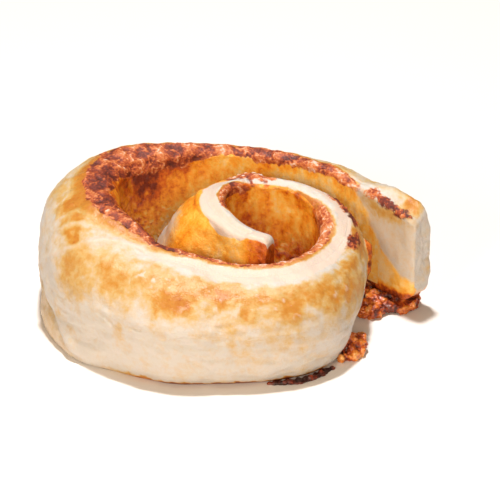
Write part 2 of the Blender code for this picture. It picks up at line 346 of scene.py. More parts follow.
# Where the oven caught it: spots as share, way down, reach along, reach across and strength
TOASTED_SPOTS = [
    (0.431, 4.8, 6, 5.5, 0.66), (0.457, 8.2, 5.5, 5.5, 0.58), (0.468, 11.5, 2.4, 2, 0.62),
    (0.478, 18, 8, 6, 0.44), (0.49, 24, 6, 5, 0.34), (0.515, 16.5, 6, 5.5, 0.42), (0.542, 12.5, 8, 4.5, 0.36),
    (0.566, 18, 7, 5.5, 0.56), (0.58, 17, 3, 3, 0.6), (0.592, 12.0, 8, 3, 0.46), (0.612, 11.5, 7, 2.5, 0.5),
    (0.637, 11.5, 8, 3.5, 0.46), (0.655, 14.5, 7, 4, 0.48), (0.680, 12.5, 7, 4, 0.5), (0.7, 16, 6, 4, 0.42),
    (0.714, 10.5, 5.5, 3, 0.56), (0.748, 9, 8, 5, 0.58), (0.738, 6.5, 6, 4, 0.5), (0.772, 7.5, 9, 3.6, 0.5),
    (0.6, 24, 5, 2, 0.2), (0.533, 29, 1.6, 5, 0.24),
    (0.40, 8, 9, 5, 0.35), (0.34, 9, 12, 5, 0.45), (0.26, 9, 12, 6, 0.5), (0.17, 8, 12, 6, 0.55),
    (0.09, 12, 7, 7, 0.45), (0.21, 22, 14, 5, 0.25), (0.0, 2.0, 4, 5, 0.6), (0.012, 6, 4, 4, 0.4),
    (0.045, -3, 5, 2.5, 0.4), (0.02, -3, 6, 2.8, 0.45),
]
CHARRED_SPOTS = [
    (0.787, 3.8, 3, 2.2, 1), (0.776, 5.2, 4, 2.6, 1.2), (0.765, 7, 4, 2.8, 1.2), (0.739, 6.6, 4, 2.4, 1.1),
    (0.748, 8, 3, 2, 0.9), (0.86, 2.5, 6, 3.8, 1.4), (0.848, 2.4, 6, 3.4, 1.4), (0.838, 2.4, 4, 2.2, 1.1),
    (0.871, 2.8, 4, 3.2, 1.2), (0.048, -0.4, 3.5, 1.9, 1), (0.033, -0.3, 4.0, 1.8, 1.1), (0.018, -0.3, 4.0, 1.7, 1),
    (0.003, -0.6, 3.4, 1.9, 1), (0.36, 0.8, 2.5, 2.6, 1),
]

# The orange edge of the crust: where the crust ends, down from the lip's edge, and how far the orange carries on
CRUST_OUT = [(0.05, -0.8), (0.12, 0.2), (0.2, 0.3), (0.3, 0.2), (0.4, 0.2), (0.46, 0.2), (0.5, 0.4), (0.56, 0.3),
             (0.62, 0.3), (0.68, 0.4), (0.74, 0.2), (0.77, -1.5), (0.8, -3), (0.86, -3), (0.885, -0.4), (0.93, -0.6),
             (0.95, -3)]
HALO = [(0, 0.6), (0.1, 1), (0.3, 2), (0.36, 3), (0.4, 6), (0.47, 6), (0.52, 3), (0.6, 1.6), (0.7, 2), (0.77, 1.4),
        (0.8, 0.5), (1, 0.4)]

# The pale ridges that run down the shoulder at the left of the front, where the dough was stretched
PALE_RIDGE = [(0.436, 25.5), (0.46, 17.9), (0.472, 13.9), (0.483, 9.4), (0.501, 4.5), (0.521, 2.8)]
SMALL_RIDGE = [(0.449, 12.5), (0.455, 8.5), (0.463, 5.3)]


def drifted(points, size, far, shift):
    """The points moved at random, by features of a size, so that what is placed by them gets uneven edges."""
    return points + np.stack([grain(points, size, 2, shift + k) for k in (0, 20, 40)], axis=1) * far * MM


def toasting(points, share, down):
    """How far the dough is browned: 0 pale, 1 deep brown."""
    drift = drifted(points, 6, 1.6, 0.5)
    noisy_down = down + 2.2 * grain(points, 7, 3, 5.5)
    start, end = eased(SHOULDER_START, share), eased(SHOULDER_END, share)
    level = eased(SHOULDER, share) * smooth(start - 1.5, start + 1.5, noisy_down) * smooth(end + 8, end - 7, noisy_down)
    level = level * (1 + SHOULDER_MOTTLING * grain(points, 4, 4, 35.5))
    level += (CLOUDS * grain(points, 11, 4, 45.5) + FRECKLES * grain(points, 2.2, 2, 48.5)) * smooth(0, 3, down)
    level += OUTER_FACE_TOAST * (share < OUTER_FACE) * ((down < 0) | (down == ON_CUT))
    for spot_share, spot_down, along, across, strength in TOASTED_SPOTS:
        spot = strength * near_spot(drift, share, spot_share, spot_down, along, across)
        level = np.maximum(level, spot) + 0.25 * np.minimum(level, spot)
    past = down - eased(CRUST_OUT, share) + 0.7 * grain(points, 3, 3, 9.5)
    halo = smooth(1.3, 0, past / eased(HALO, share)) * smooth(0.07, 0.1, share) * smooth(-9, -6, down)
    level = np.maximum(level, HALO_TOAST * halo)
    return level * (1 - 0.7 * near_line(drift, PALE_RIDGE, 2.2)) * (1 - 0.6 * near_line(drift, SMALL_RIDGE, 1.8))


def charring(points, share):
    """How far the dough is charred in spots."""
    drift = drifted(points, 2.5, 0.8, 3.5)
    return np.max([spot[4] * near_spot(drift, share, *spot[:4]) for spot in CHARRED_SPOTS], axis=0)


# The pale band on the tops of the second turn and of the inner coil: its inner and outer edge down from the lip
BAND_START = [(0.5, 3), (0.58, 1.2), (0.66, 1.6), (0.74, 1.5), (0.8, 0.6), (1, 0.2)]
BAND_END = [(0.5, 4), (0.55, 5), (0.61, 6.5), (0.68, 7), (0.73, 6), (0.79, 4), (0.83, 3), (0.84, 0.9), (0.874, 0.9),
            (0.89, 4.4), (0.9, 4.6), (0.934, 5.4), (0.953, 6.3), (0.975, 4.6), (0.987, 3.3), (1, 3.1)]
BAND_BEGINNING = (0.48, 0.56)
BAND_WANDER = 0.5

# Where syrup soaked bare dough: on the outer end's inner face up to a slanting line, given as heights and shares,
# on the inner coil's wall, but less on the cream foot of it that is drawn out to the left, and under the tip
GLAZE_LINE = [(8, -0.01), (15, 0.02), (20, 0.04), (29, 0.058), (33, 0.072)]
GLAZE_EDGE = (-0.014, 0.008)
DRAWN_FOOT_SHARES = (0.83, 0.86, 0.905, 0.935)
DRAWN_FOOT_DOWN = (10, 15)
DRAWN_FOOT_LESS = 0.75
TIP_SHARES = (0.965, 0.98)


def pale_band(points, share, down):
    """1 on the pale band, and 0 off it."""
    wander = BAND_WANDER * grain(points, 3, 2, 14.5)
    start = smooth(-0.6, 0.6, down - eased(BAND_START, share) + wander)
    end = smooth(0.7, -0.7, down - eased(BAND_END, share) + wander)
    return start * end * smooth(*BAND_BEGINNING, share)


def syrup_on_dough(points, share, down):
    """How thick syrup lies on the bare dough."""
    past_band = down - eased(BAND_END, share) + BAND_WANDER * grain(points, 3, 2, 14.5)
    inner_coil = smooth(-0.4, 0.5, past_band) * smooth(*DRAWN_FOOT_SHARES[:2], share)
    streaked = down + 2.5 * grain(points * [1, 1, 0.3], 2.5, 2, 16.5)
    drawn_foot = smooth(*DRAWN_FOOT_SHARES[:1:-1], share) * smooth(*DRAWN_FOOT_DOWN, streaked)
    line = np.interp(points[:, 2] / MM + 3 * grain(points, 8, 2, 17.5), *np.array(GLAZE_LINE).T)
    end = smooth(*GLAZE_EDGE, share - line) * (share < 0.2) * smooth(0.5, -1, down)
    tip = smooth(*TIP_SHARES, share) * smooth(-1.5, -2.5, down)
    return np.maximum(np.maximum(inner_coil * (1 - DRAWN_FOOT_LESS * drawn_foot), end), tip)


# Large soft lumps of the wall, and finer relief over them, each as depth and size in millimetres
LUMP_DEPTH, LUMP_SIZE = 0.4, 17
LUMP_START = 4
BUMP_DEPTH, BUMP_SIZE = 0.36, 5.5
DIMPLE_DEPTH, DIMPLE_SIZE = 0.12, 1.7
WRINKLE_DEPTH, WRINKLE_SIZE = 0.22, 9
BLISTER_DEPTH, BLISTER_SIZE = 0.22, 2.2
RIDGE_DEPTH = 0.5

# The fold at the lower left of the front, whose crease falls from a height to the tray, the lobe that bulges out
# under it, and the painted shade on the dough below the crease
FOLD_SHARES = (0.4, 0.5)
FOLD_HEIGHT = 18
FOLD_DEPTH = 0.3
FOLD_EDGE = 1.5
FOLD_GROOVE = 0.9
FOLD_SHADE = 0.2
LOBE_SHARES = (0.415, 0.45, 0.49, 0.53)
LOBE_TOP = 10
LOBE_FOOT = 3
LOBE_DEPTH = 2.6

# The pinched foot at the right of the front, as shares and heights, and the drip that dried between the turns
PINCH_SHARES = (0.69, 0.72, 0.765, 0.79)
PINCH_TOP = 19
PINCH_FOOT = 5
PINCH_DEPTH = 2.6
DRIP = [(0.763, 16), (0.762, 20), (0.761, 25), (0.758, 32)]
DRIP_WIDTH = 2.8
DRIP_DEPTH = 2

# Blistered spots, whose paleness is partly painted glints, and creases at the right of the front, across the lower
# front and down from the shoulder, darkened with painted shade
BLISTERS_AND_GLINTS = [(0.652, 14.5, 9, 5, 1), (0.545, 12, 9, 4.5, 1), (0.61, 17, 14, 7, 0.85), (0.69, 16, 8, 6, 0.8),
             (0.57, 28, 18, 6, 0.3), (0.612, 10.5, 14, 1.6, 0.9), (0.655, 27, 10, 6, 0.3), (0.5, 22, 9, 5, 0.4)]
CREASES = [
    ([(0.727, 15), (0.7285, 19), (0.726, 24), (0.728, 30)], 1.3, 0.8),
    ([(0.737, 12), (0.736, 18), (0.738, 25)], 1.2, 0.6),
    ([(0.69, 29), (0.66, 31), (0.63, 29.5), (0.6, 31)], 1.6, 0.45),
    ([(0.71, 32), (0.69, 34.5), (0.67, 34)], 1.4, 0.5),
    ([(0.515, 26), (0.53, 27.5), (0.55, 27)], 1.2, 0.4),
    ([(0.56, 31), (0.58, 32), (0.6, 33.5)], 1.2, 0.35),
]
CREASE_SHADE = 0.12

# How far each pale feature lightens the dough, part of it painted light
# The blisters' paleness is partly painted glints on the shoulder
BLISTER_AND_GLINT_PALING = 0.65
RIDGE_BLEACH = 0.45
# The outer end's inner face and the inner coil's cream foot: paler, partly their cream and partly painted light
OUTER_FACE_CREAM_AND_LIGHT = 0.15
DRAWN_FOOT_CREAM_AND_LIGHT = 0.3


def relief(points, share, down):
    """How far the dough stands out or lies back in millimetres, and how much of that is blisters, partly painted
    glints, and creases.
    """
    above_foot = points[:, 2] / MM - eased(LIFT, share)
    blister_and_glint = np.max([spot[4] * near_spot(points, share, *spot[:4]) for spot in BLISTERS_AND_GLINTS], axis=0)
    blister_and_glint *= smooth(0, 0.55, grain(points * [1, 1, 0.7], BLISTER_SIZE, 2, 26.5))
    ridge = near_line(points, PALE_RIDGE, 1.8) + 0.6 * near_line(points, SMALL_RIDGE, 1.3)
    drift = drifted(points, 5, 1, 60.5)
    creased = np.max([depth * near_line(drift, line, width) for line, width, depth in CREASES], axis=0)
    lumps = LUMP_DEPTH * grain(points, LUMP_SIZE) * smooth(0, LUMP_START, above_foot)
    bumps = BUMP_DEPTH * grain(points, BUMP_SIZE, 2, 3.1) + DIMPLE_DEPTH * grain(points, DIMPLE_SIZE, 3, 7.7)
    wrinkles = WRINKLE_DEPTH * grain(points * [1, 1, 4.5], WRINKLE_SIZE, 3, 11.3) * smooth(27, 12, above_foot)
    fine = smooth(0.3, 2.5, above_foot) * (bumps + wrinkles) * (1 - 0.4 * pale_band(points, share, down))
    pinch = window(PINCH_SHARES, share) * smooth(PINCH_TOP, PINCH_FOOT, above_foot)
    stands = lumps + fine - creased + BLISTER_DEPTH * blister_and_glint + RIDGE_DEPTH * ridge - PINCH_DEPTH * pinch * (down > 0)
    return stands, blister_and_glint, ridge, creased


def keep(mesh, points, **kept):
    """Moves the mesh's points, and keeps on it a number for each vertex under each name."""
    mesh.vertices.foreach_set("co", points.astype(np.float32).ravel())
    for name, values in kept.items():
        mesh.attributes.new(name, "FLOAT", "POINT").data.foreach_set("value", values.astype(np.float32))


def dress(mesh, points, share, down, **kept):
    """Keeps on a mesh what the finish reads: how toasted each vertex is, with painted shade in its creases, and how
    pale, with painted light and glints, besides what is given.
    """
    band = pale_band(points, share, down)
    _, blister_and_glint, ridge, creased = relief(points, share, down)
    run = share * STRIP_LENGTH * MM
    streaks = grain(np.stack([run * 0.2, down * MM, 0 * down], axis=1), 1.1, 3, 8.5)
    # Painted shade darkens the creases
    toast = toasting(points, share, down) + CREASE_SHADE * creased + 0.1 * streaks * band
    bleach = band * (0.85 + 0.35 * streaks) + BLISTER_AND_GLINT_PALING * blister_and_glint + RIDGE_BLEACH * ridge
    drawn_foot = window(DRAWN_FOOT_SHARES, share) * smooth(*DRAWN_FOOT_DOWN, down)
    outer_face = smooth(0.09, OUTER_FACE, share) * (down < 0)
    # Painted light on the outer end's inner face and the inner coil's cream foot, faces that the lamps leave dim
    bleach = np.maximum(np.clip(bleach, 0, 1) * (down > -9),
                        OUTER_FACE_CREAM_AND_LIGHT * outer_face + DRAWN_FOOT_CREAM_AND_LIGHT * drawn_foot)
    keep(mesh, points, **dict(kept, toast=np.maximum(toast, kept.get("toast", 0)), bleach=bleach))


# The moves of the dough's points: the relief on the outside, and on the inside only the outer end's bare face
INNER_DEPTH = 0.25
CHAR_DEPTH = 0.55
LEAST_HEIGHT = 0.3

above_foot = points[:, 2] / MM - eased(LIFT, vertex_share)
outside = smooth(FACE_POINTS + LIP_POINTS - 2, FACE_POINTS + LIP_POINTS + 8, place_round)
along_fold = np.clip((vertex_share - FOLD_SHARES[0]) / (FOLD_SHARES[1] - FOLD_SHARES[0]), 0, 1)
crease = FOLD_HEIGHT * (1 - along_fold) + FOLD_EDGE
fold_strength = np.sqrt(np.sin(math.pi * along_fold))
fold = FOLD_DEPTH * fold_strength * (1 - smooth(crease - FOLD_EDGE, crease + FOLD_EDGE, above_foot))
lobe = LOBE_DEPTH * window(LOBE_SHARES, vertex_share) * smooth(LOBE_TOP, LOBE_FOOT, above_foot)
groove = FOLD_GROOVE * fold_strength * smooth(1.3, 0, np.abs(above_foot - crease + 0.8 * grain(points, 7, 2, 31.5)))
drip = near_line(drifted(points, 3, 0.7, 73.5), DRIP, DRIP_WIDTH) * (vertex_share > 0.7)
char = charring(points, vertex_share)
crumbled = np.abs(grain(points, 1.6, 3, 4.4)) * 1.6 - 0.2
stands = relief(points, vertex_share, vertex_down)[0]
inner = INNER_DEPTH * smooth(0.3, 2.5, above_foot) * grain(points, 4, 3, 3.1) * smooth(0.04, 0.01, vertex_share)
move = outside * (stands + lobe - fold - groove) + (1 - outside) * inner + char * CHAR_DEPTH * crumbled
move += DRIP_DEPTH * drip
shift = normals * move[:, None] * MM
shift[:, 2] *= points[:, 2] > 0
lowest = np.minimum(points[:, 2], LEAST_HEIGHT * MM)
points = points + shift
points[:, 2] = np.maximum(points[:, 2], lowest)

# The scorched edge of the outer end's foot, the brown line along the foot of the front, which is partly browning and
# partly painted contact shade, and how deep the syrup is on the inner coil's wall, its bright front, the tip, the drip
# and the scorched edge
END_FOOT = (4.5, 0.5)
FOOT_LINE = (1.9, 0.7)
FOOT_LINE_SHARES = (0.5, 0.58, 0.7, 0.73)
FOOT_BROWNING_AND_SHADE = 1.2
THIN_SYRUP = 0.14
WALL_SYRUP = 0.1
FRONT_SYRUP = 0.2
FRONT_SHARES = (0.86, 0.88, 0.93, 0.96)
TIP_SYRUP = 0.5
DRIP_SYRUP = 0.8
SCORCHED_SYRUP = 0.95

# How dark the charred spots are, and less so on the inner coil and more on the outer end
CHAR_DARK = 1.15
INNER_COIL = 0.8
COIL_LIGHTER = 0.9
OUTER_END = 0.1
END_DARKER = 0.15

low_end = smooth(*END_FOOT, above_foot + 1.4 * grain(points, 3, 3, 81.5)) * smooth(0.11, 0.08, vertex_share)
# Painted contact shade along the foot of the front, over a thin browned line
foot_line_and_shade = smooth(*FOOT_LINE, above_foot + 0.9 * grain(points, 3, 3, 84.5)) * window(FOOT_LINE_SHARES, vertex_share)
# Painted shade on the dough below the fold's crease, where the bulge above hangs over the lobe
painted_fold_shade = FOLD_SHADE * smooth(crease + 1, crease - 1, above_foot) * fold_strength
tip = smooth(0.975, 0.995, vertex_share) * np.maximum(smooth(26, 10, vertex_down), vertex_down == ON_CUT)
depth = THIN_SYRUP + WALL_SYRUP * (vertex_share > INNER_COIL) + TIP_SYRUP * tip
depth += FRONT_SYRUP * window(FRONT_SHARES, vertex_share)
depth += 0.2 * grain(points * [1, 1, 0.5], 5, 4, 51.5)
depth = np.maximum(depth, (DRIP_SYRUP + 0.4 * grain(points, 2, 2, 95.5)) * smooth(0, 0.25, drip))
dark = CHAR_DARK + 0.5 * grain(points, 5, 2, 91.5)
dark += END_DARKER * (vertex_share < OUTER_END) - COIL_LIGHTER * (vertex_share > INNER_COIL)
syrup = np.max([syrup_on_dough(points, vertex_share, vertex_down), low_end, 3 * drip], axis=0)
dress(dough_mesh, points, vertex_share, vertex_down, toast=np.maximum(FOOT_BROWNING_AND_SHADE * foot_line_and_shade, painted_fold_shade),
      crust=char, crag=crumbled, dark=dark, syrup=syrup, depth=np.maximum(depth, SCORCHED_SYRUP * low_end))


class Wire:
    """A socket that gives a value in a material. Sums on it add the nodes that work them out."""

    def __init__(self, socket):
        self.socket = socket

    def node(self, kind, settings, inputs, output=0):
        """Adds a node of a kind to the same material, with its settings, then its inputs' values or wires."""
        tree = self.socket.id_data
        made = tree.nodes.new("ShaderNode" + kind)
        for name, value in settings.items():
            if name == "stops":
                while len(made.color_ramp.elements) < len(value):
                    made.color_ramp.elements.new(0.5)
                for element, (position, colour) in zip(made.color_ramp.elements, value):
                    element.position = position
                    element.color = (*colour, 1)
            else:
                setattr(made, name, value)
        for slot, value in inputs.items():
            if isinstance(value, Wire):
                tree.links.new(value.socket, made.inputs[slot])
            elif made.inputs[slot].type == "RGBA":
                made.inputs[slot].default_value = (*value, 1)
            else:
                made.inputs[slot].default_value = value
        return Wire(made.outputs[output])

    def math(self, operation, one, two):
        """One operation on two values or wires."""
        return self.node("Math", {"operation": operation}, {0: one, 1: two})

    def __add__(self, other):
        return self.math("ADD", self, other)

    def __sub__(self, other):
        return self.math("SUBTRACT", self, other)

    def __rsub__(self, other):
        return self.math("SUBTRACT", other, self)

    def __mul__(self, other):
        return self.math("MULTIPLY", self, other)

    __radd__ = __add__
    __rmul__ = __mul__

    def between(self, low, high):
        """0 below low, 1 above high, and eased between them."""
        return self.node("MapRange", {"interpolation_type": "SMOOTHSTEP"}, {0: self, 1: low, 2: high, 3: 0, 4: 1})

    def noise(self, size, detail=2, roughness=0.5):
        """Noise from 0 to 1 with features of a size in metres, where self is a place."""
        return self.node("TexNoise", {}, {"Vector": self, "Scale": 1 / size, "Detail": detail, "Roughness": roughness})

    def stops(self, *stops):
        """The colour between stops, which are pairs of a value and a colour."""
        return self.node("ValToRGB", {"stops": stops}, {0: self})

    def mixed(self, one, two):
        """The colour one where self is 0, and the colour two where it is 1."""
        return self.node("Mix", {"data_type": "RGBA"}, {0: self, 6: one, 7: two}, 2)

    def bump(self, strength, depth):
        """The surface's normal with self as its relief, by a strength and a depth in metres."""
        return self.node("Bump", {}, {"Strength": strength, "Distance": depth, "Height": self})

    def kept(self, name):
        """The number that each vertex keeps under a name."""
        return self.node("Attribute", {"attribute_type": "GEOMETRY", "attribute_name": name}, {}, 2)

    def feed(self, shader, name):
        """Links self to a shader's socket."""
        self.socket.id_data.links.new(self.socket, shader.inputs[name])


def finish(name, roughness, **constants):
    """A new material, its shader with the constants set, and the place in the object as a wire."""
    made = bpy.data.materials.new(name)
    made.use_nodes = True
    shader = made.node_tree.nodes["Principled BSDF"]
    shader.inputs["Roughness"].default_value = roughness
    for slot, value in constants.items():
        shader.inputs[slot.replace("_", " ")].default_value = value
    coordinates = made.node_tree.nodes.new("ShaderNodeTexCoord")
    return made, shader, Wire(coordinates.outputs["Object"])


# Colours as baking goes on, from raw dough to char, then those of the syrup by its depth, and of the crust from dark
# in its hollows to pale on its peaks
DOUGH_STOPS = [(0, (0.59, 0.535, 0.48)), (0.15, (0.60, 0.475, 0.34)), (0.35, (0.58, 0.365, 0.13)),
               (0.55, (0.535, 0.235, 0.037)), (0.75, (0.48, 0.165, 0.024)), (1, (0.22, 0.045, 0.012))]
SYRUP_STOPS = [(0, (0.88, 0.64, 0.30)), (0.25, (0.93, 0.51, 0.09)), (0.5, (0.88, 0.33, 0.022)),
               (0.75, (0.58, 0.11, 0.006)), (1, (0.18, 0.022, 0.005))]
CRUST_STOPS = [(0, (0.08, 0.015, 0.010)), (0.25, (0.18, 0.03, 0.015)), (0.45, (0.38, 0.07, 0.018)),
               (0.65, (0.58, 0.17, 0.045)), (0.82, (0.62, 0.26, 0.12)), (1, (0.76, 0.52, 0.42))]
WHITE = (0.68, 0.535, 0.44)

# Sizes of the fine, the coarse and the gritty grain of the surface, and how dark the crust is between its crags
FINE_GRAIN = 0.9
COARSE_GRAIN = 2.6
GRIT = 0.6
CRUST_TONE = 0.64


def baked_look(name, scatter):
    """The finish of the whole scroll: dough, the syrup over it and the crust, by what each vertex keeps."""
    made, shader, place = finish(
        name, 0.5, Subsurface_Weight=scatter, Subsurface_Scale=0.003, Subsurface_Radius=(1, 0.45, 0.2),
        Coat_Roughness=0.12, Specular_IOR_Level=0.35)
    fine = place.noise(FINE_GRAIN * MM, 4, 0.6)
    coarse = place.noise(COARSE_GRAIN * MM, 4, 0.55)
    grit = (place.noise(GRIT * MM, 3, 0.6) - 0.5) * 0.9
    # The browning here carries painted shade, and the paleness painted light and glints
    toast = place.kept("toast") + (coarse - 0.5) * 0.36 + (fine - 0.5) * 0.32
    bleach = (place.kept("bleach") + (fine - 0.5) * 0.5).between(0.15, 0.8)
    depth = place.kept("depth") + (coarse - 0.5) * 0.5 + (fine - 0.5) * 0.5
    syrup = (place.kept("syrup") + (fine - 0.5) * 0.3).between(0.2, 0.8)
    crust = (place.kept("crust") + (fine - 0.5) * 0.6 + (coarse - 0.5) * 0.4).between(0.24, 0.72)
    tone = CRUST_TONE + place.kept("crag") * 0.58 - place.kept("dark") * 0.42 + grit
    colour = bleach.mixed(toast.stops(*DOUGH_STOPS), WHITE)
    colour = syrup.mixed(colour, depth.stops(*SYRUP_STOPS))
    colour = crust.mixed(colour, tone.stops(*CRUST_STOPS))
    colour.feed(shader, "Base Color")
    (0.5 - 0.14 * syrup + 0.22 * crust - 0.12 * toast.between(0.2, 0.5)).feed(shader, "Roughness")
    (syrup * (1 - crust) * (coarse * 0.5)).feed(shader, "Coat Weight")
    (fine * (0.6 + syrup) + place.noise(0.45 * MM, 2) * 0.6).bump(0.55, 0.25 * MM).feed(shader, "Normal")
    return made


dough_mesh.materials.append(baked_look("baked dough", 0.1))
dough = bpy.data.objects.new("coiled_dough", dough_mesh)
bpy.context.scene.collection.objects.link(dough)
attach(dough, "root")
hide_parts("dough_scroll")

# The filling. Cheese and syrup that the strip was spread with before it was coiled, baked to a glossy golden skin on
# the strip's inner face. Where it runs over the rim it dried to a dark, craggy crust.
SKIN_RINGS = 640
SKIN_FACE_POINTS = 76
SKIN_LIP_POINTS = 26
SKIN_BACK_POINTS = 5
SKIN_WALL_POINTS = 140
UNDER_SKIN = -30

# The skirt: how far the skin runs past the lip's edge over the dough, in millimetres, and at most what part of the
# top's width, how far it stands above the dough, and how far its edge dives into it
SKIRT = 5
SKIRT_PART = 0.6
SKIRT_STEPS = 14
SKIRT_RISE = 0.06
SKIRT_DIVE = 1.2

# How far before the filling the skin starts, as a share, how it sinks into the dough there and at the tip
SKIN_LEAD = 0.028
START_SINK = 0.3
START_RUN = 0.006
END_SINK = 0.984

# How far the crust reaches below the rim, how strong it is, how craggy and how dark
CRUST_REACH = [(0.05, 0.5), (0.1, 0.2), (0.14, 0.4), (0.17, 0.7), (0.19, 1.1), (0.2, 1.2), (0.21, -0.4), (0.24, -1),
               (0.26, -0.3), (0.29, 2.2), (0.33, 1.2), (0.36, -0.6), (0.39, -3.2), (0.42, -4), (0.45, -3.4),
               (0.48, -1), (0.5, 0.6), (0.6, 0.4), (0.66, 0.8), (0.72, 2), (0.76, 1.4), (0.79, 0.3), (0.85, 0.4),
               (0.88, 1.6), (0.92, 1.2), (0.95, 0.3), (1, 0)]
LIP_CRUST = [(0.045, 0), (0.08, 0.75), (0.12, 1), (0.3, 1), (0.5, 1), (0.76, 0.95), (0.79, 0.35), (0.86, 0.4),
             (0.88, 0.95), (0.93, 0.75), (0.96, 0.1)]
CRAG_DEPTH = [(0.05, 0.25), (0.2, 0.5), (0.3, 0.9), (0.46, 1), (0.52, 0.45), (0.66, 0.5), (0.77, 0.35), (1, 0.25)]
CRUST_DARK = [(0.08, 0.3), (0.16, 0.4), (0.19, 0.55), (0.23, 0.4), (0.26, 0.3), (0.3, 0.65), (0.34, 0.45),
              (0.38, 0.6), (0.41, 0.95), (0.44, 0.65), (0.48, 0.6), (0.55, 0.8), (0.62, 0.35), (0.7, -0.05),
              (0.76, 0.2), (0.9, 0.45)]

# How deep the syrup is on the face, near the rim and low down
SYRUP_DEPTH = [(0.04, 0.2), (0.1, 0.2), (0.16, 0.24), (0.2, 0.32), (0.22, 0.22), (0.26, 0.3), (0.29, 0.65), (0.33, 0.9),
               (0.37, 0.6), (0.45, 0.45), (0.62, 0.55), (0.7, 0.6), (0.76, 0.42), (0.83, 0.3), (0.87, 0.45),
               (0.9, 0.55), (1, 0.4)]
SYRUP_LOW = [(0.04, 0.16), (0.2, 0.2), (0.28, 0.3), (0.32, 0.42), (0.4, 0.5), (0.7, 0.8), (0.8, 0.74), (0.86, 0.7),
             (1, 0.5)]

# Where the face is grainy, where the crust hangs over the face, and where the rim is left without filling, as shares
GRAINY_SHARES = (0.27, 0.32, 0.4, 0.44)
GRAINY_COIL = (0.78, 0.82)
OVERHANG_SHARES = (0.36, 0.41, 0.49, 0.53)
BARE_SHARES = (0.62, 0.66, 0.76, 0.78)
BARE_TIP = (0.95, 0.98)
OVERHANG = 1.2
GRAINY_DEPTH = 0.45
CRAGS = 0.6
CRAG_SIZE = 3.6
WEB_SIZE = 2.8
WEB_FINENESS = 7

# The skin's section runs up the face, over the lip and on over the dough as the skirt, then back inside the dough
skin_shares = np.linspace(FILLING_SHARES[0] - SKIN_LEAD, FILLING_SHARES[1], SKIN_RINGS)
emerging = START_SINK * (1 - smooth(skin_shares[0], skin_shares[0] + START_RUN, skin_shares))[:, None]
emerging += FILLING_DEPTH * smooth(END_SINK, FILLING_SHARES[1], skin_shares)[:, None]
open_n, open_z = face_and_lip(skin_shares, FILLING_FOOT, emerging, emerging, SKIN_FACE_POINTS, SKIN_LIP_POINTS)
beyond_n, beyond_z, beyond_down = top_and_wall(skin_shares, SKIN_WALL_POINTS)
reach = np.linspace(0, 1, SKIRT_STEPS + 1)[1:]
skirt = np.minimum(SKIRT, SKIRT_PART * (eased(THICKNESS, skin_shares) - eased(LIP, skin_shares)))[:, None] * reach
skirt_n = np.array([np.interp(run, d, n) for run, d, n in zip(skirt, beyond_down, beyond_n)])
skirt_z = np.array([np.interp(run, d, z) for run, d, z in zip(skirt, beyond_down, beyond_z)])
skirt_z += (FILLING_EDGE + GAP) * recessed(skin_shares) * (1 - smooth(0, 0.8, reach))
skirt_z += SKIRT_RISE - SKIRT_DIVE * smooth(0.8, 1, reach) - emerging
sunk_n, sunk_z = face_and_lip(skin_shares, FILLING_FOOT, FILLING_DEPTH, FILLING_EDGE + GAP, SKIN_BACK_POINTS, 2)
skin_n = np.hstack([open_n, skirt_n, sunk_n[:, ::-1]])
skin_z = np.hstack([open_z, skirt_z, sunk_z[:, ::-1]])
skin_mesh = tube("filling", placed(skin_shares, skin_n, skin_z))
points, normals = places_of(skin_mesh)

# Each vertex's share, its place round the section, its depth below the rim and its way down from the lip's edge
skin_around = skin_n.shape[1]
lip_end = open_n.shape[1]
skirt_end = lip_end + skirt_n.shape[1]
skin_share = skin_shares.repeat(skin_around)
skin_place = np.tile(np.arange(skin_around), SKIN_RINGS)
below_rim = eased(HEIGHT, skin_share) - LIP_SLOPE * eased(LIP, skin_share) - points[:, 2] / MM
lip_run = np.hypot(np.diff(open_n, append=open_n[:, -1:]), np.diff(open_z, append=open_z[:, -1:]))[:, ::-1]
to_edge = -np.cumsum(lip_run, axis=1)[:, ::-1]
skin_down = np.hstack([to_edge, skirt, UNDER_SKIN + 0 * sunk_n]).ravel()
on_open = smooth(skirt_end + 1, skirt_end - 3, skin_place)
on_lip = smooth(SKIN_FACE_POINTS - 4, SKIN_FACE_POINTS + 6, skin_place)
on_skirt = smooth(lip_end - 10, lip_end, skin_place)

# The crags and fine webs of the crust, where the crust is, and how the skin stands out
webs = np.maximum(1 - WEB_FINENESS * np.abs(grain(points, WEB_SIZE, 2, 24.4)), 0)
crags = 0.9 * grain(points, CRAG_SIZE, 4, 2.2) + 0.35 * webs
reach_below = eased(CRUST_REACH, skin_share)
crust_edge = reach_below + grain(points * [1, 1, 0.4], 2.6, 3, 12.1)
past = skin_down - eased(CRUST_OUT, skin_share) + 0.9 * grain(points, 2.6, 3, 18.5)
crust = smooth(crust_edge + 0.7, crust_edge - 0.7, below_rim) * smooth(0.6, -0.5, past) * eased(LIP_CRUST, skin_share)
crust = np.maximum(crust, charring(points, skin_share))
face_relief = 0.35 * grain(points, 6, 2, 1.7) + 0.24 * grain(points * [1, 1, 0.6], 1.8, 3, 6.3)
below = below_rim + 3 * grain(points, 7, 2, 61.5)
low = smooth(4, 26, below)
where_grainy = np.clip(window(GRAINY_SHARES, skin_share) + 0.8 * smooth(*GRAINY_COIL, skin_share), 0, 1)
grainy = smooth(0.05, 0.45, grain(points, 1.5, 2, 37.7)) * smooth(9, 16, below) * where_grainy
overhang = window(OVERHANG_SHARES, skin_share) * smooth(3, 0.5, below_rim) * smooth(lip_end, lip_end - 14, skin_place)
move = OVERHANG * overhang + face_relief * (1 - on_lip) * smooth(0.034, 0.07, skin_share) + GRAINY_DEPTH * grainy
move += CRAGS * eased(CRAG_DEPTH, skin_share) * crust * crags
move = on_open * (move + on_skirt * relief(points, skin_share, skin_down)[0])
points = points + normals * move[:, None] * MM

